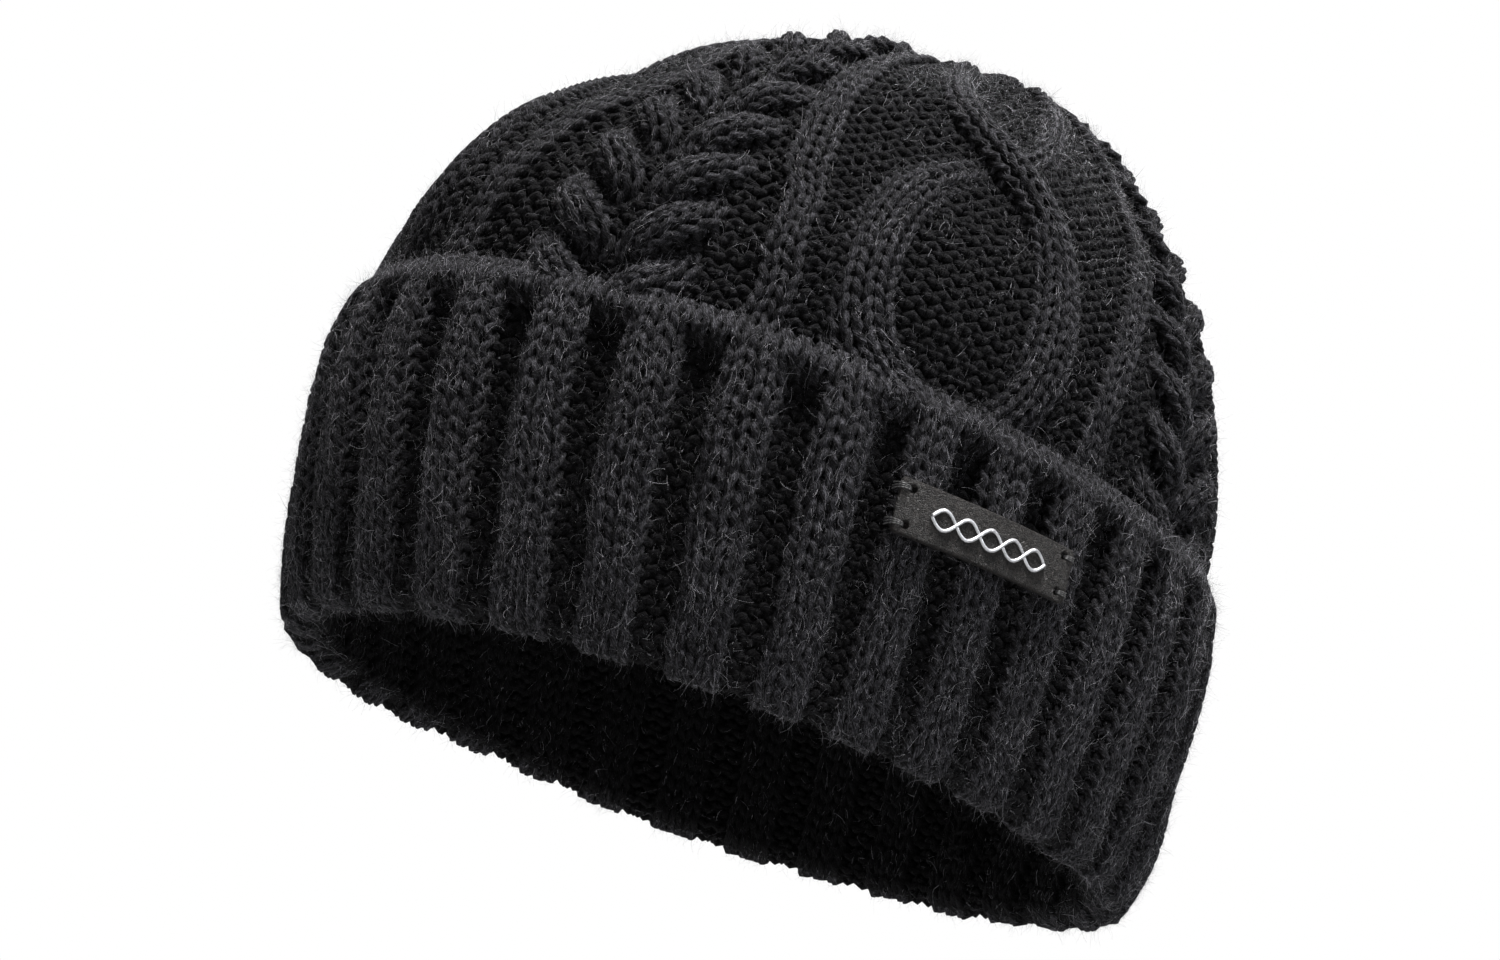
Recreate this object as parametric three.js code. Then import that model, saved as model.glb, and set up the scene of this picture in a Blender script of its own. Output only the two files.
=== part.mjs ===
// Cuffed cable-knit beanie, as it sits on a head: a gathered crown, a turned-up ribbed cuff in two
// layers, and a small leather patch tacked to the cuff.
// Millimetres, +Z up. The wearer faces -Y and the wearer's left is +X. The hat stands on its fold,
// and the origin is the middle of the box's bottom face.

import * as THREE from 'three';
import { mergeVertices } from 'three/addons/utils/BufferGeometryUtils.js';

// ---- Driving dimensions ----------------------------------------------------------------------

// Outer shape of the worn hat, along X. Along Y it is OVAL times as wide, as a head is.
const HALF_WIDTH = 91.8;      // at the widest level
const OVAL = 1.15;
const HEIGHT = 162.8;
const WIDEST = 47.7;          // height of the widest level
const TUCK = 0.055;           // how much narrower the opening is, as a share of HALF_WIDTH
const DOME_UP = 1.8;          // superellipse exponents of the crown's outline,
const DOME_OUT = 2.3;         // along its height and along its width

// The soft hat bows a little towards the wearer's back left corner, at its rim and at its crown.
const BOW = 28;
const BOW_MIDDLE = 0.39;      // share of the height where the bow turns
const BOW_DIRECTION = Math.PI / 4;

// The fabric.
const LAYER = 5;              // thickness of one layer of the knit
const EDGE_ROUNDING = 1.2;    // of the cuff's top edge
const GAP = 0.3;              // clearance between neighbouring pieces
const CUFF_HEIGHT = 70.5;
const BAND_SHORT = 4;         // how much lower the inner band ends than the cuff
const FOLD_HEIGHT = 7;        // height of the rolled fold at the opening
const FOLD_FLAT = 2;          // half the width of the flat that the fold stands on
const FOLD_ROUND = 0.7;       // share of the fold's height that its roundings take
const RIBS = 32;
const RIB_DEPTH = 1.6;
const RIB_TURN = THREE.MathUtils.degToRad(4.3);   // where the first rib's crest is
const BULGE = 14;             // height over which the crown swells out above the cuff
const EYELET = 4;             // radius of the small hole left at the top of the crown

// The back seam, inside the hat.
const SEAM_WIDTH = 5;
const SEAM_THICKNESS = 1.6;
const LINING_GAP = 0.7;          // clearance of a piece inside the hat to the curved wall behind it
const SEAM_TOP = 128;

// The patch on the cuff, its ornament and its four tacks.
const PATCH_TURN = THREE.MathUtils.degToRad(-18.9);
const PATCH_TILT = THREE.MathUtils.degToRad(2.7);   // its rear end is the higher one
const PATCH_LEVEL = 48.1;
const PATCH_WIDTH = 42;
const PATCH_HEIGHT = 10.8;
const PATCH_THICKNESS = 1.2;
const ORNAMENT_WIDTH = 28;
const ORNAMENT_HEIGHT = 4.6;
const ORNAMENT_THICKNESS = 0.35;
const ORNAMENT_BEADS = 5;
const ORNAMENT_NECK = 0.25;   // width between two beads, as a share of a bead's
const TACK_DIAMETER = 0.9;
const TACK_INSET = 2.6;       // from the patch's short edge to the hole that the thread comes out of
const TACK_REACH = 1.6;       // how far the thread runs out over the short edge
const TACK_LEVEL = 3.5;       // from the patch's middle line up or down to a tack
const TACK_SHOULDER = 0.7;    // share of its reach where the thread starts to turn down

// The blank care label, inside at the back, beside the seam.
const LABEL_WIDTH = 18;
const LABEL_HEIGHT = 24;
const LABEL_THICKNESS = 0.8;
const LABEL_LEVEL = 50;
const LABEL_ASIDE = 1;           // from the seam to the label's edge

const RIB_SIDES = 4 * RIBS;      // facets around a ribbed ring, two on each crest and two in each groove
const PLAIN_SIDES = 64;
const DOME_STEPS = 10;
const DOME_FOOT = CUFF_HEIGHT + 3;    // level where the crown's curve starts
const KNOT_STEPS = 8;
const PATCH_STEPS = 16;
const BEAD_STEPS = 6;
const LABEL_STEPS_ROUND = 6;
const LABEL_STEPS_UP = 4;
const TACK_STEPS = 8;

// ---- Materials -------------------------------------------------------------------------------

const wool = () => new THREE.MeshStandardMaterial({ color: 0x2b2b2f, roughness: 0.95 });
const thread = () => new THREE.MeshStandardMaterial({ color: 0x1c1c1f, roughness: 0.7 });
const leather = () => new THREE.MeshStandardMaterial({ color: 0x1b1817, roughness: 0.55 });
const silver = () => new THREE.MeshStandardMaterial({ color: 0xc9c9cc, roughness: 0.3, metalness: 1 });
const satin = () => new THREE.MeshStandardMaterial({ color: 0x26262a, roughness: 0.6 });

// ---- The hat's shape -------------------------------------------------------------------------

// Half width of the outside at a level, below or above the widest level.
function outside(level) {
  if (level < WIDEST) return HALF_WIDTH * (1 - TUCK * ((WIDEST - level) / WIDEST) ** 2);
  const rise = (level - WIDEST) / (HEIGHT - WIDEST);
  return HALF_WIDTH * (1 - rise ** DOME_UP) ** (1 / DOME_OUT);
}

// Sideways shift of the whole section at a level, none at the widest level.
function bow(level) {
  const fromMiddle = (z) => (z / HEIGHT - BOW_MIDDLE) ** 2;
  return BOW * (fromMiddle(level) - fromMiddle(WIDEST));
}

// A point of the hat from its turn around the head, its half width and its level. Equal turns are
// equal lengths of fabric around the oval, to first order.
const EVENING = (OVAL ** 2 - 1) / (4 * (OVAL ** 2 + 1));
const MEAN_RADIUS = HALF_WIDTH * Math.sqrt((1 + OVAL ** 2) / 2);

function onHead(turn, halfWidth, level) {
  const angle = turn - EVENING * Math.sin(2 * turn);
  return new THREE.Vector3(
    halfWidth * Math.cos(angle) + bow(level) * Math.cos(BOW_DIRECTION),
    OVAL * halfWidth * Math.sin(angle) + bow(level) * Math.sin(BOW_DIRECTION),
    level,
  );
}

// ---- Geometry helpers ------------------------------------------------------------------------

// Moves each vertex of a geometry to where place(vertex) puts it.
function reshape(geometry, place) {
  geometry.deleteAttribute('normal');
  geometry.deleteAttribute('uv');
  const merged = mergeVertices(geometry);
  const position = merged.getAttribute('position');
  const vertex = new THREE.Vector3();
  for (let i = 0; i < position.count; i += 1) {
    vertex.fromBufferAttribute(position, i);
    const moved = place(vertex);
    position.setXYZ(i, moved.x, moved.y, moved.z);
  }
  merged.computeVertexNormals();
  return merged;
}

// Depth of the ribs' relief at a turn: none on a crest, all of it in a groove.
function ribRelief(turn) {
  const wave = Math.SQRT2 * Math.cos(RIBS * (turn - RIB_TURN));
  return RIB_DEPTH * THREE.MathUtils.clamp((1 - wave) / 2, 0, 1);
}

// A ring round the head from its cross-section, a list of [half width, level] that goes up its
// outside and down its inside. A ribbed ring has the ribs' relief on its outer half.
function ring(section, ribbed = false) {
  const points = section.map(([halfWidth, level]) => new THREE.Vector2(halfWidth, level));
  const sides = ribbed ? RIB_SIDES : PLAIN_SIDES;
  const lathe = new THREE.LatheGeometry([...points, points[0]], sides);
  return reshape(lathe, (vertex) => {
    const halfWidth = Math.hypot(vertex.x, vertex.z);
    const turn = Math.atan2(-vertex.z, vertex.x);
    const outer = ribbed && halfWidth > outside(vertex.y) - LAYER / 2;
    return onHead(turn, halfWidth - (outer ? ribRelief(turn) : 0), vertex.y);
  });
}

// The outside at some levels, moved straight in by a depth.
function wall(levels, depth) {
  return levels.map((level) => [outside(level) - depth, level]);
}

// An outline moved towards the hollow, square to itself.
function moveIn(outline, distance) {
  return outline.map(([halfWidth, level], i) => {
    const before = outline[Math.max(i - 1, 0)];
    const after = outline[Math.min(i + 1, outline.length - 1)];
    const along = new THREE.Vector2(after[0] - before[0], after[1] - before[1]).normalize();
    return [halfWidth - distance * along.y, level + distance * along.x];
  });
}

// Bends a flat piece round the head: its x runs round, its y up, and its z out from a distance
// outside the hat. The tilt turns it in its own plane first.
function bend(piece, turn, level, out, tilt = 0) {
  return reshape(piece, (vertex) => {
    const round = vertex.x * Math.cos(tilt) - vertex.y * Math.sin(tilt);
    const height = level + vertex.x * Math.sin(tilt) + vertex.y * Math.cos(tilt);
    return onHead(turn + round / MEAN_RADIUS, outside(height) + out + vertex.z, height);
  });
}

// ---- The knit --------------------------------------------------------------------------------

const CUFF_LEVELS = [FOLD_HEIGHT + GAP, 20, 34, WIDEST, 60, CUFF_HEIGHT - 2];
const BAND_TOP = CUFF_HEIGHT - BAND_SHORT;

// The turned-up outer layer, with its ribs and a rounded top edge.
function cuffOuter() {
  const top = wall([CUFF_HEIGHT], EDGE_ROUNDING);
  const topInside = wall([CUFF_HEIGHT], LAYER - EDGE_ROUNDING);
  return ring([...wall(CUFF_LEVELS, 0), ...top, ...topInside, ...wall(CUFF_LEVELS, LAYER).reverse()], true);
}

// The inner layer, against the head.
function bandInner() {
  const levels = [...CUFF_LEVELS.slice(0, -1), BAND_TOP];
  return ring([...wall(levels, LAYER + GAP), ...wall(levels, 2 * LAYER).reverse()]);
}

// The rolled fold that joins the two layers, with a narrow flat under it.
function cuffFold() {
  const depth = 2 * LAYER;
  const foot = outside(0) - LAYER;
  const side = wall([FOLD_HEIGHT], 0)[0];
  const inner = wall([FOLD_HEIGHT], depth)[0];
  const shoulder = LAYER - FOLD_FLAT;
  const roundHeight = FOLD_ROUND * FOLD_HEIGHT;
  const quarter = [30, 60].map((degrees) => THREE.MathUtils.degToRad(degrees));
  const outerRound = quarter.map((a) => [
    foot + FOLD_FLAT + shoulder * Math.sin(a), roundHeight * (1 - Math.cos(a))]);
  const innerRound = quarter.map((a) => [
    foot - FOLD_FLAT - shoulder * Math.sin(a), roundHeight * (1 - Math.cos(a))]).reverse();
  return ring([[foot + FOLD_FLAT, 0], ...outerRound, side, inner, ...innerRound, [foot - FOLD_FLAT, 0]]);
}

// The crown's outside: tucked into the cuff at its foot, swelling out above it, closed in to the
// eyelet at its top.
function crownOutline() {
  const tucked = [BAND_TOP + GAP, CUFF_HEIGHT].map((level) => [outside(level) - LAYER - GAP, level]);
  const dome = [];
  const start = Math.asin(((DOME_FOOT - WIDEST) / (HEIGHT - WIDEST)) ** (DOME_UP / 2));
  const end = Math.acos((EYELET / HALF_WIDTH) ** (DOME_OUT / 2));
  for (let i = 0; i <= DOME_STEPS; i += 1) {
    const a = THREE.MathUtils.lerp(start, end, i / DOME_STEPS);
    const level = WIDEST + (HEIGHT - WIDEST) * Math.sin(a) ** (2 / DOME_UP);
    const tuck = LAYER * Math.exp(-(((level - CUFF_HEIGHT) / BULGE) ** 2));
    dome.push([HALF_WIDTH * Math.cos(a) ** (2 / DOME_OUT) - tuck, level]);
  }
  return [...tucked, ...dome];
}

function crownKnit() {
  const outline = crownOutline();
  const lining = moveIn(outline, LAYER);
  lining[0][1] = outline[0][1];
  lining[lining.length - 1][0] = EYELET;
  return ring([...outline, ...lining.reverse()]);
}

// The yarn that gathers the crown, drawn up into a knot that fills the eyelet.
function gatherYarn() {
  const radius = EYELET - GAP;
  const halfHeight = LAYER / 2;
  const points = [];
  for (let i = 0; i <= KNOT_STEPS; i += 1) {
    const a = THREE.MathUtils.lerp(-Math.PI / 2, Math.PI / 2, i / KNOT_STEPS);
    points.push(new THREE.Vector2(radius * Math.cos(a), halfHeight * Math.sin(a)));
  }
  points[0].x = 0;
  points[KNOT_STEPS].x = 0;
  const knot = new THREE.LatheGeometry(points, 2 * KNOT_STEPS);
  return reshape(knot, (vertex) => onHead(0, 0, HEIGHT - LAYER / 2 - GAP)
    .add(new THREE.Vector3(vertex.x, -vertex.z, vertex.y)));
}

// The seam allowance up the middle of the back, inside, across both layers' inner faces.
function backSeam() {
  const bandLevels = [FOLD_HEIGHT + SEAM_WIDTH, ...CUFF_LEVELS.slice(1, -1)];
  const crown = crownOutline().slice(1);
  const face = (depth) => [
    ...wall(bandLevels, 2 * LAYER + depth),
    ...moveIn(crown, LAYER + depth).filter(([, level]) => level < SEAM_TOP),
  ];
  const outline = [...face(LINING_GAP), ...face(LINING_GAP + SEAM_THICKNESS).reverse()];
  const shape = new THREE.Shape(outline.map(([halfWidth, level]) => new THREE.Vector2(halfWidth, level)));
  const strip = new THREE.ExtrudeGeometry(shape, { depth: SEAM_WIDTH, bevelEnabled: false });
  strip.translate(0, 0, -SEAM_WIDTH / 2);
  return reshape(strip, (vertex) => onHead(Math.PI / 2, vertex.x, vertex.y)
    .add(new THREE.Vector3(vertex.z, 0, 0)));
}

// ---- The patch and the label -----------------------------------------------------------------

const PATCH_BACK = GAP;                           // distances outside the hat
const PATCH_FACE = PATCH_BACK + PATCH_THICKNESS;

function leatherPatch() {
  const plate = new THREE.BoxGeometry(PATCH_WIDTH, PATCH_HEIGHT, PATCH_THICKNESS, PATCH_STEPS, 1, 1);
  return bend(plate, PATCH_TURN, PATCH_LEVEL, PATCH_BACK + PATCH_THICKNESS / 2, PATCH_TILT);
}

// A raised chain of pointed beads along the patch's middle.
function patchOrnament() {
  const chain = new THREE.BoxGeometry(
    ORNAMENT_WIDTH, ORNAMENT_HEIGHT, ORNAMENT_THICKNESS, BEAD_STEPS * ORNAMENT_BEADS, 1, 1);
  const beaded = reshape(chain, (vertex) => {
    const phase = (vertex.x / ORNAMENT_WIDTH + 0.5) * ORNAMENT_BEADS * Math.PI;
    const swell = THREE.MathUtils.lerp(ORNAMENT_NECK, 1, Math.abs(Math.sin(phase)));
    return new THREE.Vector3(vertex.x, vertex.y * swell, vertex.z);
  });
  const out = PATCH_FACE + GAP + ORNAMENT_THICKNESS / 2;
  return bend(beaded, PATCH_TURN, PATCH_LEVEL, out, PATCH_TILT);
}

// A tack of thread that comes out of the patch near a corner, runs out over the short edge and
// turns down into the knit. side and row are -1 or 1.
function patchTack(side, row) {
  const radius = TACK_DIAMETER / 2;
  const over = PATCH_FACE + GAP + radius;
  const under = GAP + radius;
  const edge = PATCH_WIDTH / 2;
  const shoulder = edge + TACK_SHOULDER * TACK_REACH;
  const drop = edge + TACK_REACH;
  const route = [
    [edge - TACK_INSET, over],
    [edge, over],
    [shoulder, over - radius],
    [drop, (over + under) / 2],
    [drop, under],
  ].map(([x, z]) => new THREE.Vector3(side * x, row * TACK_LEVEL, z));
  const section = new THREE.Shape().absarc(0, 0, radius, 0, 2 * Math.PI);
  const tube = new THREE.ExtrudeGeometry(section, {
    extrudePath: new THREE.CatmullRomCurve3(route),
    steps: TACK_STEPS,
    curveSegments: TACK_STEPS,
  });
  return bend(tube, PATCH_TURN, PATCH_LEVEL, 0, PATCH_TILT);
}

// A blank woven tape, flat against the inner layer beside the back seam.
function careLabel() {
  const tape = new THREE.BoxGeometry(
    LABEL_WIDTH, LABEL_HEIGHT, LABEL_THICKNESS, LABEL_STEPS_ROUND, LABEL_STEPS_UP, 1);
  const beside = (SEAM_WIDTH / 2 + LABEL_ASIDE + LABEL_WIDTH / 2) / MEAN_RADIUS;
  return bend(tape, Math.PI / 2 + beside, LABEL_LEVEL, -(2 * LAYER + LINING_GAP + LABEL_THICKNESS / 2));
}

// ---- The assembly ----------------------------------------------------------------------------

const hat = new THREE.Group();

function add(name, geometry, material) {
  const mesh = new THREE.Mesh(geometry, material);
  mesh.name = name;
  hat.add(mesh);
}

add('crown_knit', crownKnit(), wool());
add('cuff_outer', cuffOuter(), wool());
add('band_inner', bandInner(), wool());
add('cuff_fold', cuffFold(), wool());
add('gather_yarn', gatherYarn(), wool());
add('back_seam', backSeam(), wool());
add('leather_patch', leatherPatch(), leather());
add('patch_ornament', patchOrnament(), silver());
for (const [side, sideName] of [[-1, 'front'], [1, 'rear']]) {
  for (const [row, rowName] of [[-1, 'lower'], [1, 'upper']]) {
    add(`patch_tack_${sideName}_${rowName}`, patchTack(side, row), thread());
  }
}
add('care_label', careLabel(), satin());

// The origin goes to the middle of the box's bottom face.
const box = new THREE.Box3().setFromObject(hat, true);
hat.position.set(-(box.min.x + box.max.x) / 2, -(box.min.y + box.max.y) / 2, -box.min.z);

export default hat;
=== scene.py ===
"""The looks of a cuffed cable-knit beanie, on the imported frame.

Every stitch is a loop of yarn laid on the hat's surface. The knit is worked out in millimetres, in
turns round the head and in lengths along a meridian.
"""
from math import acos, asin, cos, pi, radians, sin, sqrt, tanh

import bpy
import numpy as np
from mathutils import Matrix, Vector


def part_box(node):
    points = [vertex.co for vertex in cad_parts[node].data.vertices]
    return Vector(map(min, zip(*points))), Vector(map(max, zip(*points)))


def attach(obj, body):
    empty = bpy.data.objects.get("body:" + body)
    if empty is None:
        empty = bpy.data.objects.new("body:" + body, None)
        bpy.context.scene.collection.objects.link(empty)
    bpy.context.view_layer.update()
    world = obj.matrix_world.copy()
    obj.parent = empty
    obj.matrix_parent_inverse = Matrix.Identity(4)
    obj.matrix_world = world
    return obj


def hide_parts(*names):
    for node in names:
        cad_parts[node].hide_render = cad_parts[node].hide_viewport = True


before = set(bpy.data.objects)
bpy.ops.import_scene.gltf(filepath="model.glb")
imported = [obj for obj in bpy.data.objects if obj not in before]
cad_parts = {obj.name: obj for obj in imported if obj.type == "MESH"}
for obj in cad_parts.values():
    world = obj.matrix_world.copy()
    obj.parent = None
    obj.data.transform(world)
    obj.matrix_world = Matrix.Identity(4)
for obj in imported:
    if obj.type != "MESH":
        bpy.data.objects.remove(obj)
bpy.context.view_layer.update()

MM = 0.001
TAU = 2 * pi
rng = np.random.default_rng(7)


# ---- Paths

def unit(vectors):
    return vectors / np.linalg.norm(vectors, axis=-1, keepdims=True)


def lengths(points):
    """The length along a path up to each of its points."""
    return np.concatenate([[0], np.cumsum(np.linalg.norm(np.diff(points, axis=0), axis=1))])


def read_path(where, at, points):
    """A path's points at the lengths in where. at has the lengths that points holds for."""
    return np.stack([np.interp(where, at, points[:, i]) for i in range(3)], -1)


def ramp(low, high, x):
    return np.clip((x - low) / (high - low), 0, 1)


def smooth(low, high, x):
    share = ramp(low, high, x)
    return share * share * (3 - 2 * share)


# ---- The hat's shape, as the CAD has it

def box_mm(node):
    low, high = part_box(node)
    return np.array(low) / MM, np.array(high) / MM


CUFF_LOW, CUFF_HIGH = box_mm("cuff_outer")
AXIS = (CUFF_LOW + CUFF_HIGH) / 2
OVAL = 1.15  # length over width
HALF_WIDTH = (CUFF_HIGH[1] - CUFF_LOW[1]) / 2 / OVAL
HEIGHT = box_mm("crown_knit")[1][2]
CUFF_HEIGHT = CUFF_HIGH[2]
WIDEST = 47.7  # level where the hat is widest
TUCK = 0.055  # share by which it closes in from there to the rim
DOME_UP, DOME_OUT = 1.8, 2.3  # powers that round the dome
BOW, BOW_MIDDLE = 28.0, 0.39  # how strongly the hat's axis bows, and about which share of its height
BOW_DIRECTION = pi / 4
BULGE = 14.0  # height in which the crown comes out of its tuck
EVENING = (OVAL**2 - 1) / (4 * (OVAL**2 + 1))  # makes equal turns equal lengths
MEAN_OVAL = sqrt((1 + OVAL**2) / 2)  # mean radius over half width
PATH_POINTS = 4  # to a millimetre


def outside(level):
    """Half width of the hat's outside at a level."""
    low = 1 - TUCK * (np.clip(WIDEST - level, 0, None) / WIDEST) ** 2
    rise = ramp(WIDEST, HEIGHT, level)
    return HALF_WIDTH * low * (1 - rise**DOME_UP) ** (1 / DOME_OUT)


def bow(level):
    return BOW * ((level / HEIGHT - BOW_MIDDLE) ** 2 - (WIDEST / HEIGHT - BOW_MIDDLE) ** 2)


def on_head(turn, half, level):
    """Points from their turn round the head, half width and level."""
    angle = turn - EVENING * np.sin(2 * turn)
    shift = bow(level)
    x = AXIS[0] + half * np.cos(angle) + shift * cos(BOW_DIRECTION)
    y = AXIS[1] + OVAL * half * np.sin(angle) + shift * sin(BOW_DIRECTION)
    return np.stack(np.broadcast_arrays(x, y, level), -1)


class Meridian:
    """A path in half width and level, read by the length along it. Its out side is on its right."""

    def __init__(self, half, level):
        length = lengths(np.stack([half, level], -1))
        apart = np.concatenate([[True], np.diff(length) > 1e-6])
        self.length = length[-1]
        self.s = np.linspace(0, self.length, int(self.length * PATH_POINTS))
        self.half = np.interp(self.s, length[apart], half[apart])
        self.level = np.interp(self.s, length[apart], level[apart])
        along_half = np.gradient(self.half, self.s)
        along_level = np.gradient(self.level, self.s)
        size = np.hypot(along_half, along_level)
        self.out_half, self.out_level = along_level / size, -along_half / size

    def read(self, s, values):
        return np.interp(s, self.s, values)

    def perimeter(self, s):
        return TAU * MEAN_OVAL * self.read(s, self.half)

    def at_level(self, level):
        """Length at which the path first comes up to a level."""
        return self.s[np.argmax(self.level >= level)]

    def place(self, turn, s, out):
        half = self.read(s, self.half) + out * self.read(s, self.out_half)
        level = self.read(s, self.level) + out * self.read(s, self.out_level)
        return on_head(turn, half, level)


FOOT = 64.5  # level where the band ends and the crown begins
CROWN_TUCK = 2.8  # how far the cuff draws the crown in
CROWN_DEPTH = 3.3  # from the hat's outside to the crown's ground
EYELET, EYELET_INSIDE = 2.0, 1.0  # half widths of the hole at the top

# Where the soft hat stands out more or less than its even shape: the turn and level of a fuller
# place, how many degrees round and how many millimetres up it reaches, and how far it stands out.
CROWN_FULLNESS = ((-125, 100, 42, 26, 3.9), (-112, 122, 30, 10, -2.5), (-80, 152, 36, 10, -1.2),
                  (-8, 157, 34, 8, 2.2), (30, 140, 36, 14, -1.3))
CUFF_FULLNESS = ((-165, 6, 28, 16, 1.5), (-120, 62, 36, 16, 1.4), (42, 50, 36, 26, 2.1),
                 (46, 12, 24, 14, 2.3), (88, 4, 26, 14, -0.7))
RIM_LIFT, RIM_TURN = 2.7, radians(-38)  # the rim is higher there


def crown_path():
    """The crown fabric's middle, from inside the cuff to the eyelet at the top."""
    start = asin(((CUFF_HEIGHT + 1 - WIDEST) / (HEIGHT - WIDEST)) ** (DOME_UP / 2))
    end = acos((EYELET / HALF_WIDTH) ** (DOME_OUT / 2))
    a = np.linspace(start, end, 400)
    level = np.concatenate([np.linspace(FOOT, CUFF_HEIGHT, 20),
                            WIDEST + (HEIGHT - WIDEST) * np.sin(a) ** (2 / DOME_UP)])
    swell = np.clip(level - CUFF_HEIGHT, 0, None) / BULGE
    outer = Meridian(outside(level) - CROWN_TUCK * np.exp(-swell**2), level)
    half = outer.half - CROWN_DEPTH * outer.out_half
    level = outer.level - CROWN_DEPTH * outer.out_level
    open_ = half > EYELET_INSIDE
    return Meridian(half[open_], level[open_])


CUFF_DEPTH = 3.5  # from the hat's outside to the cuff's outer layer
BAND_DEPTH = 8.9  # and to its inner layer
FOLD_CENTRE = 4.9  # level that the fold turns round
EDGE_CURL = 1.4  # radius of the curl at the edge
CURL_ROUND = 0.85 * pi  # how far round it curls
EDGE_ROOM = 1.1  # height left above it for the yarn


def cuff_path():
    """The cuff fabric's middle: down the inside, round the fold, up the outside, over the edge."""
    top = CUFF_HEIGHT - EDGE_CURL - EDGE_ROOM
    radius = (BAND_DEPTH - CUFF_DEPTH) / 2
    down = np.linspace(FOOT, FOLD_CENTRE, 60)
    up = np.linspace(FOLD_CENTRE, top, 60)
    fold = np.linspace(pi, TAU, 24)
    middle = outside(FOLD_CENTRE) - (BAND_DEPTH + CUFF_DEPTH) / 2
    curl = np.linspace(0, CURL_ROUND, 14)
    edge = outside(top) - CUFF_DEPTH - EDGE_CURL
    half = [outside(down) - BAND_DEPTH, middle + radius * np.cos(fold),
            outside(up) - CUFF_DEPTH, edge + EDGE_CURL * np.cos(curl)]
    level = [down, FOLD_CENTRE + radius * np.sin(fold), up, top + EDGE_CURL * np.sin(curl)]
    return Meridian(np.concatenate(half), np.concatenate(level))


CROWN = crown_path()
CUFF = cuff_path()


def fullness(lobes, turn, level):
    """How far some lobes reach at a turn and level."""
    total = 0
    for lobe_turn, lobe_level, reach_round, reach_up, amount in lobes:
        aside = np.degrees(np.mod(turn - radians(lobe_turn) + pi, TAU) - pi)
        above = level - lobe_level
        total = total + amount * np.exp(-(aside / reach_round) ** 2 - (above / reach_up) ** 2)
    return total


def crown_place(turn, s, out):
    return CROWN.place(turn, s, out + fullness(CROWN_FULLNESS, turn, CROWN.read(s, CROWN.level)))


def cuff_place(turn, s, out):
    facing = np.sign(CUFF.read(s, CUFF.out_half))
    points = CUFF.place(turn, s, out + facing * fullness(CUFF_FULLNESS, turn, CUFF.read(s, CUFF.level)))
    low = 1 - smooth(0, CUFF_HEIGHT / 2, points[..., 2])
    points[..., 2] += RIM_LIFT * (0.5 + 0.5 * np.cos(turn - RIM_TURN)) ** 2 * low
    return points


# ---- Yarn

YARN_RADIUS = 0.94
THINNEST_YARN, YARN_SHARE = 0.75, 0.27  # its least radius, and its radius as a share of a stitch
LOOP_DEPTH = 0.85  # how far a loop's legs stand in front of the fabric
LOOP_REACH = 0.80  # how far it reaches up and down, in rows
LOOP_WAIST = 0.23  # how far its legs close in, in stitches
STEPS, SIDES = 10, 6  # segments of a loop, and faces round it
ROW = 3.3  # height of a row


def yarn_radius(stitch):
    return np.clip(YARN_SHARE * stitch, THINNEST_YARN, YARN_RADIUS)


class Yarn:
    """Collects loops of yarn for one mesh."""

    def __init__(self):
        self.loops, self.strip_count = [], 0

    def add(self, points, outs, radius, tone, strip, start, end):
        """points and outs are (loops, steps, 3). strip and start to end place a loop on the map.

        The yarn's tone, from 0 to 1, says how light it is: partly how far it is rubbed up into light fuzz,
        partly painted shade where it lies deep or inside the hat.
        """
        count, steps = points.shape[:2]
        radii = np.broadcast_to(np.asarray(radius, float).reshape(-1, 1), (count, steps))
        tone = np.broadcast_to(np.asarray(tone, float), (count,))
        runs = start[:, None] + (end - start)[:, None] * np.linspace(0, 1, steps)
        self.loops.append((points, outs, radii, tone, strip + self.strip_count, runs))

    def end_strips(self, count):
        self.strip_count += count

    def joined(self):
        return (np.concatenate(parts) for parts in zip(*self.loops))


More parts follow.
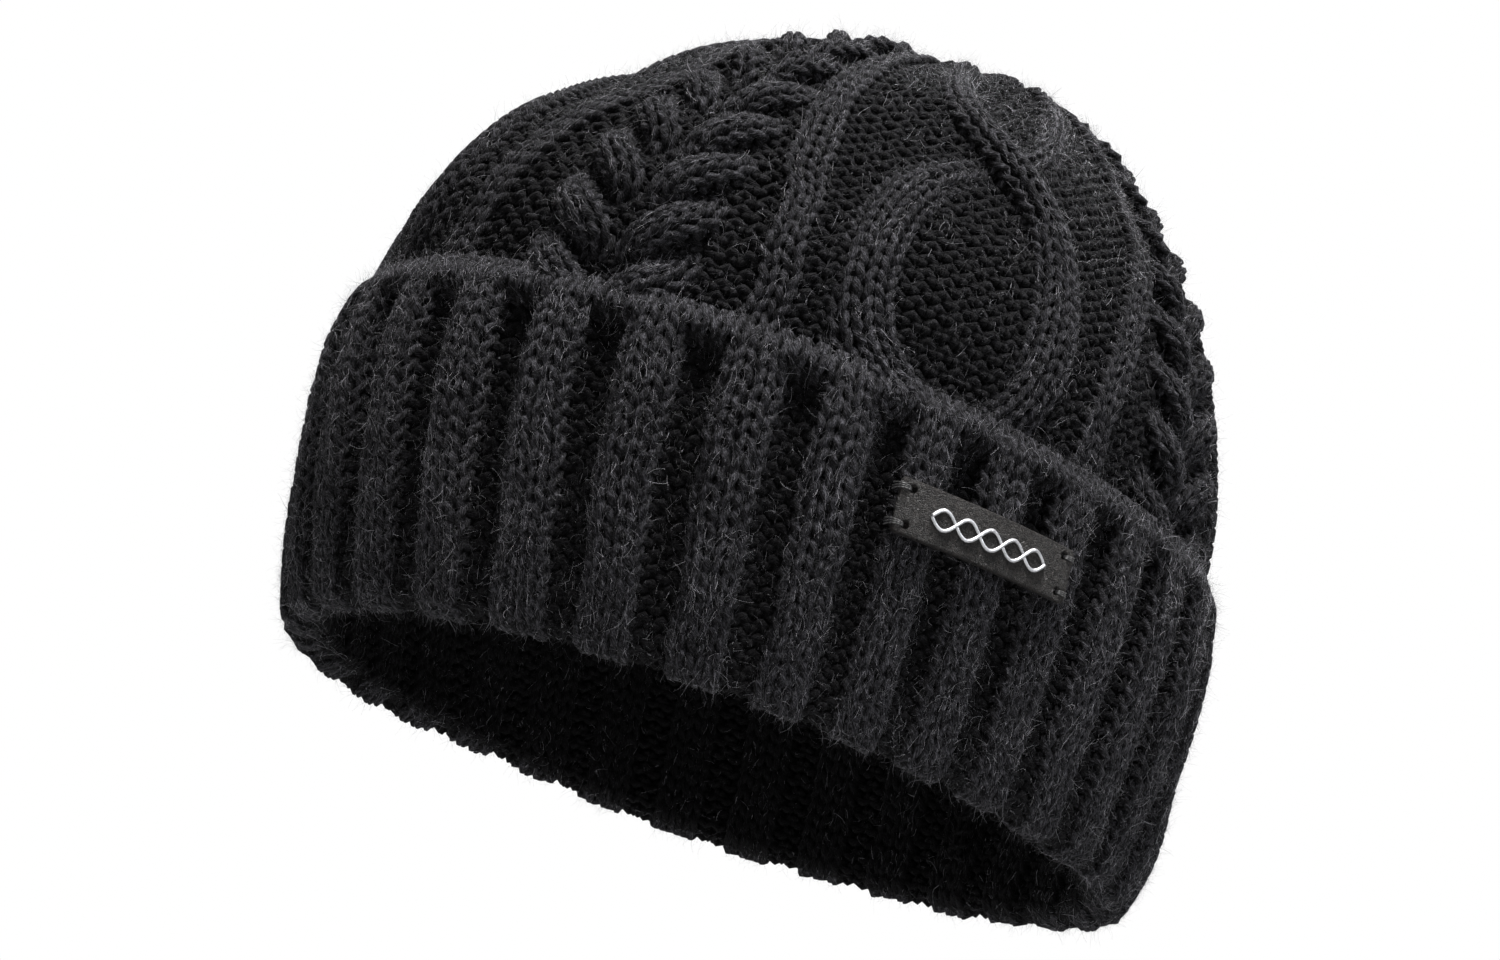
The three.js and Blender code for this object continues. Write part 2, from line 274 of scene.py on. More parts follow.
def tube_mesh(name, yarn):
    """One mesh of the yarn's loops, closed at their ends.

    Its map OFBake has a strip to each row of yarn, and its map yarn has the length along each loop
    in millimetres and the place round it.
    """
    points, outs, radii, tone, strips, runs = yarn.joined()
    count, steps = points.shape[:2]
    tangent = unit(np.gradient(points, axis=1))
    side = unit(np.cross(outs, tangent))
    lift = np.cross(tangent, side)
    around = np.arange(SIDES) / SIDES * TAU
    ring = np.cos(around)[:, None] * side[:, :, None] + np.sin(around)[:, None] * lift[:, :, None]
    verts = points[:, :, None] + radii[:, :, None, None] * ring
    base = (np.arange(count) * steps * SIDES)[:, None, None]
    step = (np.arange(steps - 1) * SIDES)[:, None]
    k = np.arange(SIDES)
    after = (k + 1) % SIDES
    quads = np.stack([step + k, step + after, step + SIDES + after, step + SIDES + k], -1)
    caps = np.array([[3, 2, 1, 0], [5, 4, 3, 0]])
    ends = np.concatenate([base + caps, base + (steps - 1) * SIDES + caps[:, ::-1]], 1)
    faces = np.concatenate([(base[..., None] + quads).reshape(-1, 4), ends.reshape(-1, 4)])

    corners = (count, steps - 1, SIDES, 4)

    def at_corners(values):
        """Values at the loops' steps, for each corner of their quads."""
        near, far = values[:, :-1, None], values[:, 1:, None]
        return np.broadcast_to(np.stack([near, near, far, far], -1), corners).ravel()

    def uv(quad_u, quad_v, end_u, end_v):
        quad_v = np.broadcast_to(quad_v, corners).ravel()
        return np.stack([np.concatenate([at_corners(quad_u), end_u]),
                         np.concatenate([quad_v, end_v])], -1)

    run_length = np.linalg.norm(np.diff(points, axis=1), axis=-1).cumsum(1)
    run_length = np.concatenate([np.zeros((count, 1)), run_length], 1)
    v = np.stack([k, k + 1, k + 1, k], -1) / SIDES
    strip_v = (strips[:, None, None, None] + 0.05 + 0.9 * v) / yarn.strip_count
    nothing = np.zeros(count * 16)
    maps = {"OFBake": uv(runs, strip_v, np.repeat(runs[:, [0, 0, -1, -1]], 4),
                         np.repeat((strips + 0.5) / yarn.strip_count, 16)),
            "yarn": uv(run_length, v, nothing, nothing)}
    piece = quad_mesh(name, verts.reshape(-1, 3), faces, maps)
    layer = piece.data.attributes.new("tone", "FLOAT", "POINT")
    layer.data.foreach_set("value", np.repeat(tone, steps * SIDES).astype(np.float32))
    return piece


def put(name, data):
    """A new object in the scene."""
    item = bpy.data.objects.new(name, data)
    bpy.context.scene.collection.objects.link(item)
    return item


def quad_mesh(name, verts, faces, maps=None):
    """A smooth mesh in metres from points in millimetres, quads and maps of a corner's place."""
    mesh = bpy.data.meshes.new(name)
    mesh.vertices.add(len(verts))
    mesh.vertices.foreach_set("co", (verts * MM).astype(np.float32).ravel())
    mesh.loops.add(faces.size)
    mesh.loops.foreach_set("vertex_index", faces.astype(np.int32).ravel())
    mesh.polygons.add(len(faces))
    mesh.polygons.foreach_set("loop_start", np.arange(0, faces.size, 4, dtype=np.int32))
    mesh.update(calc_edges=True)
    mesh.polygons.foreach_set("use_smooth", np.ones(len(faces), bool))
    for title, places in (maps or {}).items():
        layer = mesh.uv_layers.new(name=title)
        layer.uv.foreach_set("vector", places.astype(np.float32).ravel())
    return put(name, mesh)


LOOP_T = np.linspace(0, TAU, STEPS + 1)
LOOP_X = LOOP_T / TAU + LOOP_WAIST * np.sin(2 * LOOP_T)
LOOP_Y = -LOOP_REACH * np.cos(LOOP_T)
LOOP_Z = -np.cos(2 * LOOP_T)
NEAR_START = np.cos(LOOP_T / 2) ** 4 * (LOOP_T <= pi)
NEAR_END = np.cos(LOOP_T / 2) ** 4 * (LOOP_T > pi)


def add_stitches(yarn, place, column, span, row, face, before, after, radius, tone, strip, run):
    """Lays one loop of yarn for each stitch.

    place(column, row, out) gives points. face is 1 for a knit stitch and -1 for a purl stitch, and
    before and after are the faces of the stitches beside it, so that the yarn passes smoothly on.
    """
    col = column[:, None] + span[:, None] * LOOP_X
    rows = row[:, None] + LOOP_Y
    depth = face[:, None] * LOOP_Z
    depth = depth + ((face - before) / 2)[:, None] * NEAR_START
    depth = depth + ((face - after) / 2)[:, None] * NEAR_END
    points = place(col, rows, LOOP_DEPTH * depth)
    outs = place(col, rows, LOOP_DEPTH * depth + 1) - points
    yarn.add(points, outs, radius, tone, strip, *run)


class Wander:
    """A smooth random field over columns and rows, closed round the hat."""

    def __init__(self, columns, rows, cell, size):
        self.columns, self.cell = columns, cell
        self.wide, self.high = int(round(columns / cell)), int(rows / cell) + 4
        self.grid = rng.normal(0, size, (self.wide, self.high))

    def __call__(self, column, row):
        x = np.mod(column, self.columns) / self.columns * self.wide
        y = np.clip(row / self.cell + 1, 0, self.high - 1.001)
        i, j = np.floor(x).astype(int), np.floor(y).astype(int)
        fx, fy = smooth(0, 1, x - i), smooth(0, 1, y - j)
        i, i2 = i % self.wide, (i + 1) % self.wide
        g = self.grid
        low = g[i, j] * (1 - fx) + g[i2, j] * fx
        high = g[i, j + 1] * (1 - fx) + g[i2, j + 1] * fx
        return low * (1 - fy) + high * fy


def wanders(columns, rows, sizes):
    return [Wander(columns, rows, cell, size) for cell, size in sizes]


# ---- The cuff

RIBS = 32
RIB_STITCHES, KNIT_IN_RIB = 5, 3  # the others are purl
RIB_TURN = radians(-6.6)  # where a rib's middle is
RIB_EDGES = np.array([0, 0.196, 0.404, 0.6, 0.8, 1.0])  # of its stitches, as shares
RIB_SIDE = (0.75, 2.1)  # stitches from its middle where its side falls
RIB_CREST, RIB_GROOVE = 1.8, -2.8  # how far the fabric stands out
# The ribs stand closer together round one side of the rim, and lean aside beside it.
DRAWN_IN, DRAWN_TURN = radians(3.5), radians(-15)
DRAWN_LEVELS = (66.0, 18.0)  # levels where they are drawn in least and most
RIB_DRIFT = ((-41, 40, 18, 50, 1.4),)  # as CROWN_FULLNESS, in degrees aside
BAND_RELIEF = 0.18  # share of the relief in the inner band
RELIEF_ROWS = (-1.0, 7.5)  # rows past the fold where the relief grows to its full
EDGE_ROWS = 2  # knit all round, at the cuff's edge
GROOVE_END = (2.3, 1.6)  # rows from the edge where the grooves close
STEADY_ROWS = 3.0  # rows from the edge where the yarn wanders less
GROOVE_WEAR_AND_SHADE, BAND_SHADE = 0.30, 0.16  # how light the yarn is there: in the grooves partly less wear, partly painted shade, and in the inner band painted shade inside the hat
# How the yarn wanders sideways, along, and out finely and broadly: the size of its waves, and how far.
CUFF_WANDER = ((2.5, 0.10), (1.6, 0.07), (1.3, 0.112), (9.0, 0.35))


def cuff_fabric():
    rows = int(CUFF.length / ROW)
    row_height = CUFF.length / rows
    columns = RIBS * RIB_STITCHES
    sway, slip, rise, heave = wanders(columns, rows, CUFF_WANDER)
    fold_row = CUFF.s[np.argmin(CUFF.level)] / row_height

    def relief(column, row):
        half = RIB_STITCHES / 2
        ridge = 1 - smooth(*RIB_SIDE, np.abs(np.mod(column - KNIT_IN_RIB / 2 + half, RIB_STITCHES) - half))
        closed = smooth(rows - GROOVE_END[0], rows - GROOVE_END[1], row)
        ridge = ridge * (1 - closed) + closed
        depth = RIB_GROOVE + (RIB_CREST - RIB_GROOVE) * ridge
        return depth * (BAND_RELIEF + (1 - BAND_RELIEF) * smooth(*RELIEF_ROWS, row - fold_row))

    def place(column, row, out):
        steady = smooth(0.0, STEADY_ROWS, rows - row)
        col = column + sway(column, row) * steady
        whole = np.floor(col / RIB_STITCHES)
        within = np.interp(col - whole * RIB_STITCHES, np.arange(RIB_STITCHES + 1), RIB_EDGES)
        turn = RIB_TURN + (whole + within - RIB_EDGES[KNIT_IN_RIB] / 2) * TAU / RIBS
        s = np.clip(row + slip(column, row) * steady, 0, rows) * row_height
        level = CUFF.read(s, CUFF.level)
        drift = np.radians(fullness(RIB_DRIFT, turn, level))
        turn = turn - DRAWN_IN * ramp(*DRAWN_LEVELS, level) * np.sin(turn - DRAWN_TURN) + drift
        return cuff_place(turn, s, out + relief(col, row) + rise(column, row) + heave(column, row))

    yarn = Yarn()
    c, r = np.meshgrid(np.arange(columns), np.arange(rows), indexing="ij")
    c, r = c.ravel(), r.ravel()

    def face_of(column):
        knit = np.mod(column, RIB_STITCHES) < KNIT_IN_RIB
        return np.where(knit | (r >= rows - EDGE_ROWS), 1.0, -1.0)

    run = (c / columns, (c + 1) / columns)
    # The grooves' purl stitches are darker, partly from less wear and partly painted shade, and the inner
    # band inside the hat gets painted shade.
    tone = np.where(face_of(c) > 0, 1.0, GROOVE_WEAR_AND_SHADE) * np.where(r > fold_row - 1, 1.0, BAND_SHADE)
    add_stitches(yarn, place, c.astype(float), np.ones(len(c)), r + 0.5, face_of(c), face_of(c - 1),
                 face_of(c + 1), YARN_RADIUS, tone, r, run)
    yarn.end_strips(rows)
    return yarn, place, columns, rows


# ---- The crown

REPEATS = 4
PATTERN = 36  # columns of one repeat
CROWN_COLUMNS = REPEATS * PATTERN
CROWN_ROWS = int(CROWN.length / ROW)
STITCH = 4.17
HORSESHOE_TURN = radians(17.5)
# Edges of one repeat's panels, in columns from the middle of a horseshoe cable, and how many degrees
# round they are at the cuff and where the crown closes in.
PANEL_EDGES = (0, 7, 9, 26, 28, 36)
PANEL_LOW = (0, 17.9, 23.0, 65.4, 70.5, 90)
PANEL_HIGH = (0, 10.9, 17.1, 74.0, 80.2, 90)
PANEL_KNIT = (False, True, False, True, False)
PANELS_AT = (146.0, 104.0)  # quarters of the perimeter where they hold
PANELS_STEADY = 1.2 * CUFF_HEIGHT  # up to this level they are as at the cuff
RIB_MIDDLES = (8, 27)
RIB_EDGE = (0.7, 1.7)  # columns from a rib's middle where its side falls
RIB_LIFT, CAP_LIFT = 1.5, 1.2  # how far the ribs and cap stand out
RING_TURN = radians(43.4)  # from a horseshoe cable to the next ring cable
MOTIFS_QUARTER = 145.0  # quarter above which the cables are at full width
LEAST_SCALE = 0.2
CAP_QUARTER = 46.0  # quarter of the perimeter where the cables end
CAP_COUNTS = ((27, 12), (14, 6), (8, 4), (0, 3))  # least quarter and number of stitches
PUCKER, PUCKER_FOLDS = 0.9, 14  # folds of the gathered top
CAP_SETS_IN, PUCKER_SETS_IN = (-6, 2), (-12, 12)  # lengths from the cap's edge
# How light the yarn is on the crown's ribs and on its lower purl ground: the ground is darker, partly from
# less wear and partly painted shade.
RIB_TONE, GROUND_WEAR_AND_SHADE = 0.9, 0.42
CROWN_WANDER = ((2.2, 0.12), (1.6, 0.08), (1.3, 0.105), (8.0, 0.45))  # as CUFF_WANDER
S_CAP = CROWN.s[np.argmax((CROWN.perimeter(CROWN.s) / 4 < CAP_QUARTER) & (CROWN.level > WIDEST))]


def crown_turn(column, s):
    whole = np.floor(column / PATTERN)
    q = column - whole * PATTERN
    high = smooth(*PANELS_AT, CROWN.perimeter(s) / 4)
    high = np.where(CROWN.read(s, CROWN.level) > PANELS_STEADY, high, 0)
    low_within, high_within = (np.interp(q, PANEL_EDGES, turns) for turns in (PANEL_LOW, PANEL_HIGH))
    within = low_within * (1 - high) + high_within * high
    return HORSESHOE_TURN + whole * TAU / REPEATS + np.radians(within)


def crown_width(low, high, s):
    """Millimetres between two columns. The upper one is read just inside the panel below it."""
    return (crown_turn(high - 1e-6, s) - crown_turn(low, s)) / TAU * CROWN.perimeter(s)


def row_columns(s):
    """Left edges, widths and faces of one repeat's stitches in a row of the crown's ground."""
    quarter = CROWN.perimeter(s) / 4
    if quarter < CAP_QUARTER:
        count = next(n for least, n in CAP_COUNTS if quarter > least)
        step = PATTERN / count
        return [(i * step, step, 1.0) for i in range(count)]
    stitches = []
    for low, high, knit in zip(PANEL_EDGES, PANEL_EDGES[1:], PANEL_KNIT):
        count = max(1, round(float(crown_width(low, high, s)) / STITCH))
        step = (high - low) / count
        stitches += [(low + i * step, step, 1.0 if knit else -1.0) for i in range(count)]
    return stitches


def crown_ground():
    sway, slip, rise, heave = wanders(CROWN_COLUMNS, CROWN_ROWS, CROWN_WANDER)

    def place(column, row, out):
        s = np.clip((row + slip(column, row)) * ROW, 0, CROWN.length)
        q = np.mod(column, PATTERN)
        off = np.minimum(np.abs(q - RIB_MIDDLES[0]), np.abs(q - RIB_MIDDLES[1]))
        cap = smooth(*CAP_SETS_IN, s - S_CAP)
        lift = RIB_LIFT * (1 - smooth(*RIB_EDGE, off)) * (1 - cap) + CAP_LIFT * cap
        turn = crown_turn(column + sway(column, row), s)
        pucker = PUCKER * np.cos(PUCKER_FOLDS * turn) * smooth(*PUCKER_SETS_IN, s - S_CAP)
        return crown_place(turn, s, out + lift + pucker + rise(column, row) + heave(column, row))

    yarn = Yarn()
    for row in range(CROWN_ROWS):
        s = (row + 0.5) * ROW
        one = np.array(row_columns(s))
        column = np.concatenate([one[:, 0] + k * PATTERN for k in range(REPEATS)])
        span, face = np.tile(one[:, 1], REPEATS), np.tile(one[:, 2], REPEATS)
        radius = yarn_radius(crown_width(column, column + span, s))
        run = (column / CROWN_COLUMNS, (column + span) / CROWN_COLUMNS)
        tone = np.where(face > 0, RIB_TONE, GROUND_WEAR_AND_SHADE)
        add_stitches(yarn, place, column, span, np.full(len(column), row + 0.5), face,
                     np.roll(face, 1), np.roll(face, -1), radius, tone, np.full(len(column), row), run)
    yarn.end_strips(CROWN_ROWS)
    return yarn, place


class Ribbon:
    """A strand of a cable: a narrow knit strip that follows a path over the crown's ground.

    strand has its number of stitches, its width, and how far its sides fall below its middle.
    """

    def __init__(self, turn, s, offset, lift, strand):
        self.scale = np.clip(CROWN.perimeter(s) / 4 / MOTIFS_QUARTER, LEAST_SCALE, 1)
        turns = turn + offset * self.scale * TAU / CROWN.perimeter(s)
        self.points = crown_place(turns, s, lift)
        self.out = crown_place(turns, s, lift + 1) - self.points
        self.side = unit(np.cross(np.gradient(self.points, axis=0), self.out))
        self.at = lengths(self.points)
        self.stitches, self.width, self.arch = strand
        self.rows = int(self.at[-1] / ROW)

    def place(self, column, row, out):
        where = np.clip(row * ROW, 0, self.at[-1])
        points, side, up = (read_path(where, self.at, of) for of in (self.points, self.side, self.out))
        share = column / self.stitches * 2 - 1
        sideways = share * self.width / 2 * np.interp(where, self.at, self.scale)
        return points + side * sideways[..., None] + up * (out - self.arch * share**2)[..., None]

    def knit(self, yarn):
        """Adds its stitches, fewer across where it narrows."""
        for row in range(self.rows):
            scale = float(np.interp(row * ROW, self.at, self.scale))
            count = max(1, round(self.stitches * scale))
            span = np.full(count, self.stitches / count)
            column = np.arange(count) * span
            face = np.ones(count)
            radius = yarn_radius(self.width / self.stitches * scale * span)
            run = (np.full(count, row / self.rows), np.full(count, (row + 1) / self.rows))
            add_stitches(yarn, self.place, column, span, np.full(count, row + 0.5), face, face, face,
                         radius, 1.0, np.arange(count), run)
        yarn.end_strips(self.stitches)


HORSESHOE_CROSSING = 13.0  # length between two crossings
HORSESHOE_MIDDLE = 9.2  # from the cable's middle to each half's
HORSESHOE_SWING = 5.0  # how far a strand swings aside of that
HORSESHOE_BASE, HORSESHOE_LIFT = 1.4, 2.8  # mean height and how it varies
HORSESHOE_STRAND = (2, 8.6, 2.0)
RING_UNDER = 3.0  # from the crown's foot down to the first crossing
RING_HIGH = 126.0  # level of the second crossing
RING_REACH = 22.0  # from the middle to a strand at its widest
RING_FULLNESS = 1.3  # how square the ring is
RING_BASE, RING_LIFT = 2.4, 2.0
RING_STRAND = (3, 13.6, 2.3)
CABLE_END = 4.0  # length past the cap's edge
SINK, SINK_LENGTH = 4.5, 9.0  # how far the cables sink at their ends
STRAND_STEP = 0.25  # between points of a strand's path


def crown_cables(yarn):
    start, end = CROWN.at_level(FOOT + 1), S_CAP + CABLE_END
    low, high = -RING_UNDER, CROWN.at_level(RING_HIGH)
    s = np.arange(start, end, STRAND_STEP)
    sink = SINK * smooth(end - SINK_LENGTH, end, s)

    def horseshoe(turn, side, phase):
        angle = pi * (s - start) / HORSESHOE_CROSSING + phase
        offset = side * (HORSESHOE_MIDDLE - HORSESHOE_SWING * np.cos(angle))
        lift = HORSESHOE_BASE + HORSESHOE_LIFT * np.sin(angle) - sink
        return Ribbon(turn, s, offset, lift, HORSESHOE_STRAND)

    def ring(turn, side):
        angle = pi * (s - low) / (high - low)
        offset = side * RING_REACH * np.tanh(RING_FULLNESS * np.sin(angle)) / tanh(RING_FULLNESS)
        crossing = np.abs(np.cos(angle)) ** 3 * np.sign(np.cos(angle))
        return Ribbon(turn, s, offset, RING_BASE - side * RING_LIFT * crossing - sink, RING_STRAND)

    for k in range(REPEATS):
        turn = HORSESHOE_TURN + k * TAU / REPEATS
        for side in (-1, 1):
            for phase in (0, pi):
                horseshoe(turn, side, phase).knit(yarn)
        for side in (-1, 1):
            ring(turn + RING_TURN, side).knit(yarn)


SHELL_OUT, SHELL_IN = -0.4, -1.0  # from the fabric's middle to its two skins
SHELL_END = 0.3  # rows that it leaves free at the ends


def shell(name, place, columns, rows, wide, tall):
    """A thin closed shell inside the fabric, which the yarns lie around."""
    c = np.linspace(0, columns, wide, endpoint=False)
    r = np.linspace(SHELL_END, rows - SHELL_END, tall)
    c, r = np.meshgrid(c, r, indexing="ij")
    verts = [place(c, r, np.full_like(c, out)).reshape(-1, 3) for out in (SHELL_OUT, SHELL_IN)]
    at = np.arange(c.size).reshape(wide, tall)
    after, n = np.roll(at, -1, 0), c.size
    skin = np.stack([at[:, :-1], after[:, :-1], after[:, 1:], at[:, 1:]], -1).reshape(-1, 4)
    rims = [np.stack([at[:, 0], at[:, 0] + n, after[:, 0] + n, after[:, 0]], -1),
            np.stack([at[:, -1], after[:, -1], after[:, -1] + n, at[:, -1] + n], -1)]
    return quad_mesh(name, np.concatenate(verts), np.concatenate([skin, skin[:, ::-1] + n, *rims]))


# ---- Materials

class Looks:
    """A material between two colours. A node's input is a value or another node's output."""

    def __init__(self, name, dark, light):
        self.dark, self.light = (*dark, 1), (*light, 1)
        self.material = bpy.data.materials.new(name)
        self.material.use_nodes = True
        self.tree = self.material.node_tree
        self.shader = self.tree.nodes["Principled BSDF"]

    def set(self, node, inputs):
        for key, value in inputs.items():
            if isinstance(value, bpy.types.NodeSocket):
                self.tree.links.new(value, node.inputs[key])
            else:
                node.inputs[key].default_value = value

    def outputs(self, kind, inputs, **settings):
        """The outputs of a new node."""
        node = self.tree.nodes.new("ShaderNode" + kind)
        for name, value in settings.items():
            setattr(node, name, value)
        self.set(node, inputs)
        return node.outputs

    def add(self, kind, inputs, output=0, **settings):
        return self.outputs(kind, inputs, **settings)[output]

    def calc(self, operation, *values):
        return self.add("Math", dict(enumerate(values)), operation=operation)

    def sum(self, *terms):
        """The sum of (socket, weight) terms."""
        total = None
        for socket, weight in terms:
            total = self.calc("MULTIPLY_ADD", socket, weight, total or 0.0)
        return total

    def on_object(self):
        return self.add("TexCoord", {}, "Object")

    def on_yarn(self):
        """The length along a tube in millimetres and the place round it, by its own map."""
        return self.outputs("SeparateXYZ", {0: self.add("UVMap", {}, uv_map="yarn")})[:2]

    def noise(self, scale, detail, place=None):
        """Noise over the object in metres, or over another place."""
        place = place or self.on_object()
        return self.add("TexNoise", {"Vector": place, "Scale": scale, "Detail": detail})

    def fit(self, value, low, high, to_low=0.0, to_high=1.0):
        return self.add("MapRange", {0: value, 1: low, 2: high, 3: to_low, 4: to_high})

    def finish(self, shade, roughness, height, depth, **constants):
        colour = self.add("Mix", {0: shade, 6: self.dark, 7: self.light}, 2, data_type="RGBA")
        normal = self.add("Bump", {"Height": height, "Strength": 1.0, "Distance": depth})
        self.set(self.shader, {"Base Color": colour, "Roughness": roughness, "Normal": normal})
        self.set(self.shader, {name.replace("_", " "): value for name, value in constants.items()})
        return self.material


PLY_PITCH = 8.0  # mm of yarn in which its plies go round once
THREAD_PITCH = 1.6  # the same for sewing thread
FIBRES_ROUND, FIBRES_ALONG = 1.9, 0.5  # how fast its fibres change round it and along it
SHADE_POWER = 2.6  # above 1, few fibres catch light
FIBRE_POWER = 4.5  # the same for the loose fibres


def wool(m):
    """Fuzzy two-ply yarn: fibres wind along it and its plies show faintly."""
    along, round_ = m.on_yarn()
    angle = m.sum((round_, TAU), (along, TAU / PLY_PITCH))
    sine, cosine = m.calc("SINE", angle), m.calc("COSINE", angle)
    spun = m.add("CombineXYZ", {0: m.sum((sine, FIBRES_ROUND)), 1: m.sum((cosine, FIBRES_ROUND)),
                                2: m.sum((along, FIBRES_ALONG), (m.noise(300.0, 2.0), 9.0))})
    fibres = m.noise(1.6, 6.0, spun)
    plies = m.calc("ABSOLUTE", sine)
    # Painted light and shade round each yarn: its outer side is lighter and its inner side darker.
    painted_outer_light = m.calc("SINE", m.sum((round_, TAU)))
    fluff, tuft, cloud = m.noise(1500.0, 3.0), m.noise(800.0, 2.0), m.noise(25.0, 2.0)
    shade = m.sum((m.fit(fibres, 0.46, 0.62), 0.5), (m.fit(painted_outer_light, 0.0, 1.0), 0.25),
                  (m.fit(tuft, 0.44, 0.60), 0.25), (m.fit(cloud, 0.3, 0.7), 0.1))
    # The stitches' attribute read here darkens the yarn: partly wear, partly painted shade in the grooves,
    # the purl ground and inside the band.
    tone = m.add("Attribute", {}, 2, attribute_name="tone")
    shade = m.calc("POWER", m.calc("MULTIPLY", shade, m.fit(tone, 0.0, 1.0, 0.35, 1.0)), SHADE_POWER)
    height = m.sum((fibres, 1.3), (plies, 0.3), (fluff, 0.5))
    return m.finish(shade, m.fit(fluff, 0.3, 0.7, 0.85, 1.0), height, 0.0014,
                    Sheen_Weight=0.02, Sheen_Roughness=0.5, Specular_IOR_Level=0.05)


def fibre(m):
    """Loose fibres on the yarn. Each has its own shade at random, and the few light ones, far lighter than
    the wool, are painted sheen where fibres catch the light.
    """
    shade = m.calc("POWER", m.add("HairInfo", {}, "Random"), FIBRE_POWER)
    return m.finish(shade, 0.55, shade, 0.0001)


def crevice_shade(m):
    """A near-black sheet in the middle of the fabric, seen between the yarns: painted shade in the gaps.
    """
    fluff = m.noise(1200.0, 4.0)
    return m.finish(fluff, 0.97, fluff, 0.0008, Specular_IOR_Level=0.1)


def leather(m):
    """Thin leather with pores, a pebbled grain and a dull surface."""
    pores = m.add("TexVoronoi", {"Vector": m.on_object(), "Scale": 2600.0},
                  feature="DISTANCE_TO_EDGE")
    grain, pebbles, cloud = m.noise(1200.0, 5.0), m.noise(2300.0, 2.0), m.noise(130.0, 3.0)
    height = m.sum((m.fit(pores, 0.0, 0.18), 0.6), (grain, 0.8), (cloud, 0.4))
    shade = m.sum((cloud, 0.2), (m.fit(grain, 0.45, 0.60), 0.4), (m.fit(pebbles, 0.52, 0.66), 0.6))
    return m.finish(shade, m.fit(grain, 0.3, 0.7, 0.42, 0.65), height, 0.0006,
                    Specular_IOR_Level=0.25)


def foil(m):
    """Silver print that has sunk a little into the grain."""
    grain, tone = m.noise(2400.0, 4.0), m.noise(500.0, 3.0)
    return m.finish(tone, m.fit(grain, 0.3, 0.7, 0.28, 0.5), grain, 0.00012, Metallic=0.9)


def thread(m):
    """Twisted sewing thread."""
    along, round_ = m.on_yarn()
    plies = m.calc("ABSOLUTE", m.calc("SINE", m.sum((round_, TAU), (along, TAU / THREAD_PITCH))))
    fluff = m.noise(3000.0, 3.0)
    height = m.sum((plies, 1.0), (fluff, 0.3))
    shade = m.sum((plies, 0.6), (fluff, 0.4))
    return m.finish(shade, m.fit(fluff, 0.3, 0.7, 0.5, 0.7), height, 0.0002)


def satin(m):
    """Woven satin tape, with its threads across and up it."""
    x, _, z = m.outputs("SeparateXYZ", {0: m.on_object()})
    across = m.calc("SINE", m.sum((x, 9000.0)))
    up = m.calc("SINE", m.sum((z, 5200.0)))
    uneven = m.noise(900.0, 3.0)
    weave = m.sum((across, 0.35), (up, 0.25), (uneven, 0.6))
    return m.finish(m.fit(weave, 0.0, 0.9), m.fit(uneven, 0.3, 0.7, 0.3, 0.45),
                    weave, 0.00008, Sheen_Weight=0.2)


def paper(m, glow):
    """Pale paper that looks evenly lit but sheds no light on the hat."""
    grain = m.noise(40.0, 3.0)
    seen = m.add("LightPath", {}, "Is Camera Ray")
    m.set(m.shader, {"Emission Color": (1, 1, 1, 1), "Emission Strength": m.sum((seen, glow))})
    return m.finish(grain, 0.9, grain, 0.0002)


WOOL = wool(Looks("wool", (0.0010, 0.0010, 0.0012), (0.080, 0.0784, 0.0890)))
# The fabric's middle is near black: painted shade between the yarns.
CREVICE_SHADE = crevice_shade(Looks("wool_middle_shade", (0.0015, 0.0015, 0.0017), (0.004, 0.004, 0.0044)))
# The fibres' light end is painted sheen: nearly white on charcoal wool.
FIBRE = fibre(Looks("wool_fibre", (0.006, 0.0059, 0.0068), (0.74, 0.73, 0.79)))
LEATHER = leather(Looks("patch_leather", (0.0013, 0.0011, 0.0010), (0.032, 0.0274, 0.0250)))
FOIL = foil(Looks("silver_foil", (0.28, 0.28, 0.29), (0.68, 0.68, 0.70)))
THREAD = thread(Looks("tack_thread", (0.005, 0.005, 0.005), (0.085, 0.085, 0.087)))
SATIN = satin(Looks("label_satin", (0.004, 0.004, 0.0045), (0.014, 0.014, 0.016)))


def dress(piece, material, slot, *nodes):
    """Gives a piece its material and body, and hides the CAD nodes it stands for. Its slot is not used."""
    piece.data.materials.append(material)
    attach(piece, "root")
    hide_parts(*nodes)


# ---- Loose fibres

FIBRE_POINTS = 5
# The number of hairs, their mean and greatest length, half their thickness, how far they stand off,
# and how far they follow the yarn and the columns of stitches.
FELT = (300000, 2.0, 4.5, 0.0115, (-0.12, 0.14), (0.5, 1.3))
STRAYS = (2000, 2.0, 4.0, 0.024, (0.0, 0.40), (0.5, 0.5))
SHORTEST = 0.6
FIBRE_SIDES = 1.5  # greatest angle from the yarn's outer side
FIBRE_ROOT = 0.9  # where in the yarn they start, in radii
ASIDE, CURL, WAVER = 0.15, 0.22, 0.12  # random turns: once, evenly and at each point
TONE_POWER = 0.8  # below 1, darker yarn has more of them than in proportion
TOP_FUZZ, TOP_FUZZ_LEVELS = 1.5, (118.0, 150.0)  # the crown's top is the fuzziest


